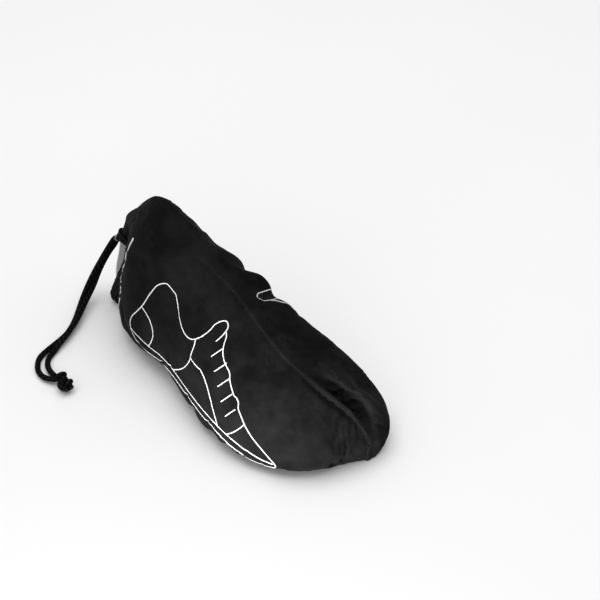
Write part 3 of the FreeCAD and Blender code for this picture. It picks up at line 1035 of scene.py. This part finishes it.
def eyelet(name, centre, axis, node):
    """A stitched ring: satin threads side by side round the hole."""
    centre, axis = np.array(centre, float), unit(np.array(axis, float))
    one = unit(np.cross(axis, (0, 0, 1.0)))
    two = np.cross(axis, one)
    ends = []
    for k in range(EYELET_THREADS):
        a = 2 * math.pi * k / EYELET_THREADS
        out = one * math.cos(a) + two * math.sin(a)
        ends.append((centre + out * EYELET_INNER, centre + out * EYELET_OUTER + axis * 0.3, -axis))
    o = capsules(name, ends, 0.4, PALE_THREAD, "bag")
    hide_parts(node)


eyelet("cord_eyelet_near_stitches", (-168.2, -1.25, 75.6), (0.995, 0.03, 0.06), "cord_eyelet_near")
eyelet("cord_eyelet_far_stitches", (-168.2, 5.45, 75.15), (0.99, 0.03, 0.08), "cord_eyelet_far")

# ---------------- the woven label, a tape folded in two
LABEL_WIDTH = 10.2
label_line = curve_line([(-174.0, 11.0, 64.4), (-174.6, 10.4, 57), (-175.6, 8.5, 45.5), (-176.4, 5.9, 33.5),
                         (-176.6, 4.4, 21.5), (-176.0, 3.7, 10.2)], 1.2)
label_turn = np.radians(np.interp(np.linspace(0, 1, len(label_line)), [0, 0.3, 0.65, 1.0],
                                  [-14, -20, -30, -40]))
label_side = np.stack([-np.sin(label_turn), np.cos(label_turn), np.zeros(len(label_line))], axis=1)
label_face = np.cross(label_side, unit(np.gradient(label_line, axis=0)))
if label_face[:, 0].mean() < 0:
    label_face = -label_face


LABEL_GAP = 0.42        # half the space between the tape's two layers


def label():
    columns = 9
    spread = np.linspace(-0.5, 0.5, columns)
    wave = 0.35 * np.sin(np.linspace(0, 5.5, len(label_line)))
    front = label_line + label_face * (LABEL_GAP + wave)[:, None]
    rear = label_line + label_face * (wave - LABEL_GAP)[:, None]
    turn = [label_line[-1] + label_face[-1] * (wave[-1] + LABEL_GAP * math.cos(a))
            - np.array((0, 0, LABEL_GAP)) * math.sin(a) for a in np.linspace(0.5, math.pi - 0.5, 4)]
    line = np.vstack([front, turn, rear[::-1]])
    side = np.vstack([label_side, np.tile(label_side[-1], (4, 1)), label_side[::-1]])
    face = np.vstack([label_face, np.tile(label_face[-1], (4, 1)), label_face[::-1]])
    verts = (line[:, None] + side[:, None] * (spread * LABEL_WIDTH)[None, :, None]
             + face[:, None] * (0.9 * spread ** 2)[None, :, None])
    o = mesh_object("woven_label_tape", verts.reshape(-1, 3) * MM, grid_faces(len(line), columns), TAPE, None)
    thick = o.modifiers.new("thickness", "SOLIDIFY")
    thick.thickness, thick.offset = 0.00025, 0
    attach(o, "label")
    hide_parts("woven_label")
    return o


label_tape = label()
bar = slice(10, 18)
mark_line = label_line[bar] + label_face[bar] * 0.95 + label_side[bar] * 1.5
mark = strip("woven_label_bar", mark_line, label_side[bar], label_face[bar], 0.45, 0.12, SEAM_THREAD,
             "label")
hinge = label_line[0] + np.array((0.5, 0, -0.3))
label_threads = capsules(
    "label_stitch_row",
    [(hinge + label_side[0] * (k * 1.5 - 4.6), hinge + label_side[0] * (k * 1.5 - 3.5), np.array((1.0, 0, 0)))
     for k in range(6)], 0.28, PALE_THREAD, "bag")
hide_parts("label_stitching")

# ---------------- printed line drawings of a plain lace-up shoe
def tree_of(rows):
    return BVHTree.FromPolygons([tuple(v) for v in rows.reshape(-1, 3)], grid_faces(ROWS, COLUMNS).tolist())


right_tree, left_tree = tree_of(right_rows), tree_of(left_rows)


def lace(x, z, size):
    """One plain straight lace bar across the throat."""
    return [(x - size * 0.6, z - size * 0.8), (x, z), (x + size * 0.6, z + size * 0.8)]


# each line as places in x and z: upper edge, throat and sole, sole's top, heel, quarter, side, toe cap, laces
DRAWING = [
    [(-84, 31), (-89, 41), (-86, 54), (-78, 64), (-70, 76), (-64, 91), (-58, 103), (-50, 107), (-42, 102),
     (-34, 90), (-21, 78), (-6, 75), (6, 80), (13, 89), (16, 98), (23, 101), (28, 93), (24, 85)],
    [(27, 92), (34, 82), (47, 72), (62, 62), (78, 52), (90, 43), (104, 33), (119, 22), (128, 13),
     (122, 9), (100, 12), (76, 17), (50, 22), (20, 26), (-10, 27), (-40, 26), (-62, 25), (-78, 26),
     (-84, 31)],
    [(-87, 39), (-64, 33), (-32, 34), (8, 34), (48, 30), (80, 24), (104, 18), (124, 15)],
    [(-60, 33), (-53, 45), (-54, 57), (-62, 68), (-73, 73)],
    [(-18, 34), (-6, 43), (4, 53), (8, 64), (6, 75), (4, 80)],
    [(8, 64), (24, 62), (40, 54), (54, 42), (62, 28)],
    [(74, 25), (84, 32), (90, 43)],
] + [lace(31 + 10.4 * k, 79 - 8.2 * k, 5.4) for k in range(5)]


INK_LIFT, INK_SINK = 0.14, -0.35        # of the ink's face over the cloth, and of its edges into it


def ribbon_mesh(lines, tree, way, width):
    """Thin raised lines of ink laid on one panel, seen from the side that way (-1 or 1) gives."""
    verts, faces, start = [], [], 0
    for points in lines:
        flat = curve_line([(x, 0, z) for x, z in points], 1.0)
        hits, normals = [], []
        for q in flat:
            place, normal, _, _ = tree.ray_cast(Vector((q[0], 150 * way, q[2])), Vector((0, -way, 0)))
            if place is not None:
                normal = np.array(normal)
                hits.append(np.array(place))
                normals.append(normal if normal[1] * way > 0 else -normal)
        if len(hits) < 4:
            continue
        line, up = np.array(hits), np.array(normals)
        for _ in range(3):
            up = unit(np.vstack([up[:1], (up[:-2] + up[1:-1] * 2 + up[2:]), up[-1:]]))
        tangent = unit(np.gradient(line, axis=0))
        across = unit(np.cross(tangent, up))
        section = []
        for offset, height in ((-0.5, INK_SINK), (-0.4, INK_LIFT), (0.0, INK_LIFT + 0.02), (0.4, INK_LIFT),
                               (0.5, INK_SINK)):
            edge = line + across * (offset * width)
            for i in range(len(edge)):
                place, _, _, _ = tree.find_nearest(Vector(edge[i]))
                edge[i] = np.array(place) + up[i] * height
            section.append(edge)
        ring = np.stack(section, axis=1)
        rows, columns = ring.shape[:2]
        verts.append(ring.reshape(-1, 3))
        faces += [tuple(f) for f in grid_faces(rows, columns, True, start)]
        faces += [tuple(start + k for k in range(columns))[::-1],
                  tuple(start + (rows - 1) * columns + k for k in range(columns))]
        start += rows * columns
    return np.vstack(verts) * MM, faces


def printed(name, lines, tree, way, width=1.25):
    verts, faces = ribbon_mesh(lines, tree, way, width)
    return mesh_object(name, verts, faces, INK, "bag")


printed("side_print_right", DRAWING, right_tree, -1)
printed("side_print_left", [[(x + 1, z + 8) for x, z in line] for line in DRAWING], left_tree, 1)

# plain bars printed beside the mouth, where a maker would put lettering
BARS = [((-103, 127), (-107, 112)), ((-109, 108), (-114, 95)), ((-114.5, 104), (-118, 94)),
    ((-117, 90), (-119.5, 79)), ((-120.5, 75), (-121.5, 65)), ((-121, 61), (-124, 49)),
    ((-124, 45), (-129, 30))]
printed("rim_bars", [[a, ((a[0] + b[0]) / 2, (a[1] + b[1]) / 2), b] for a, b in BARS], right_tree, -1, 2.2)
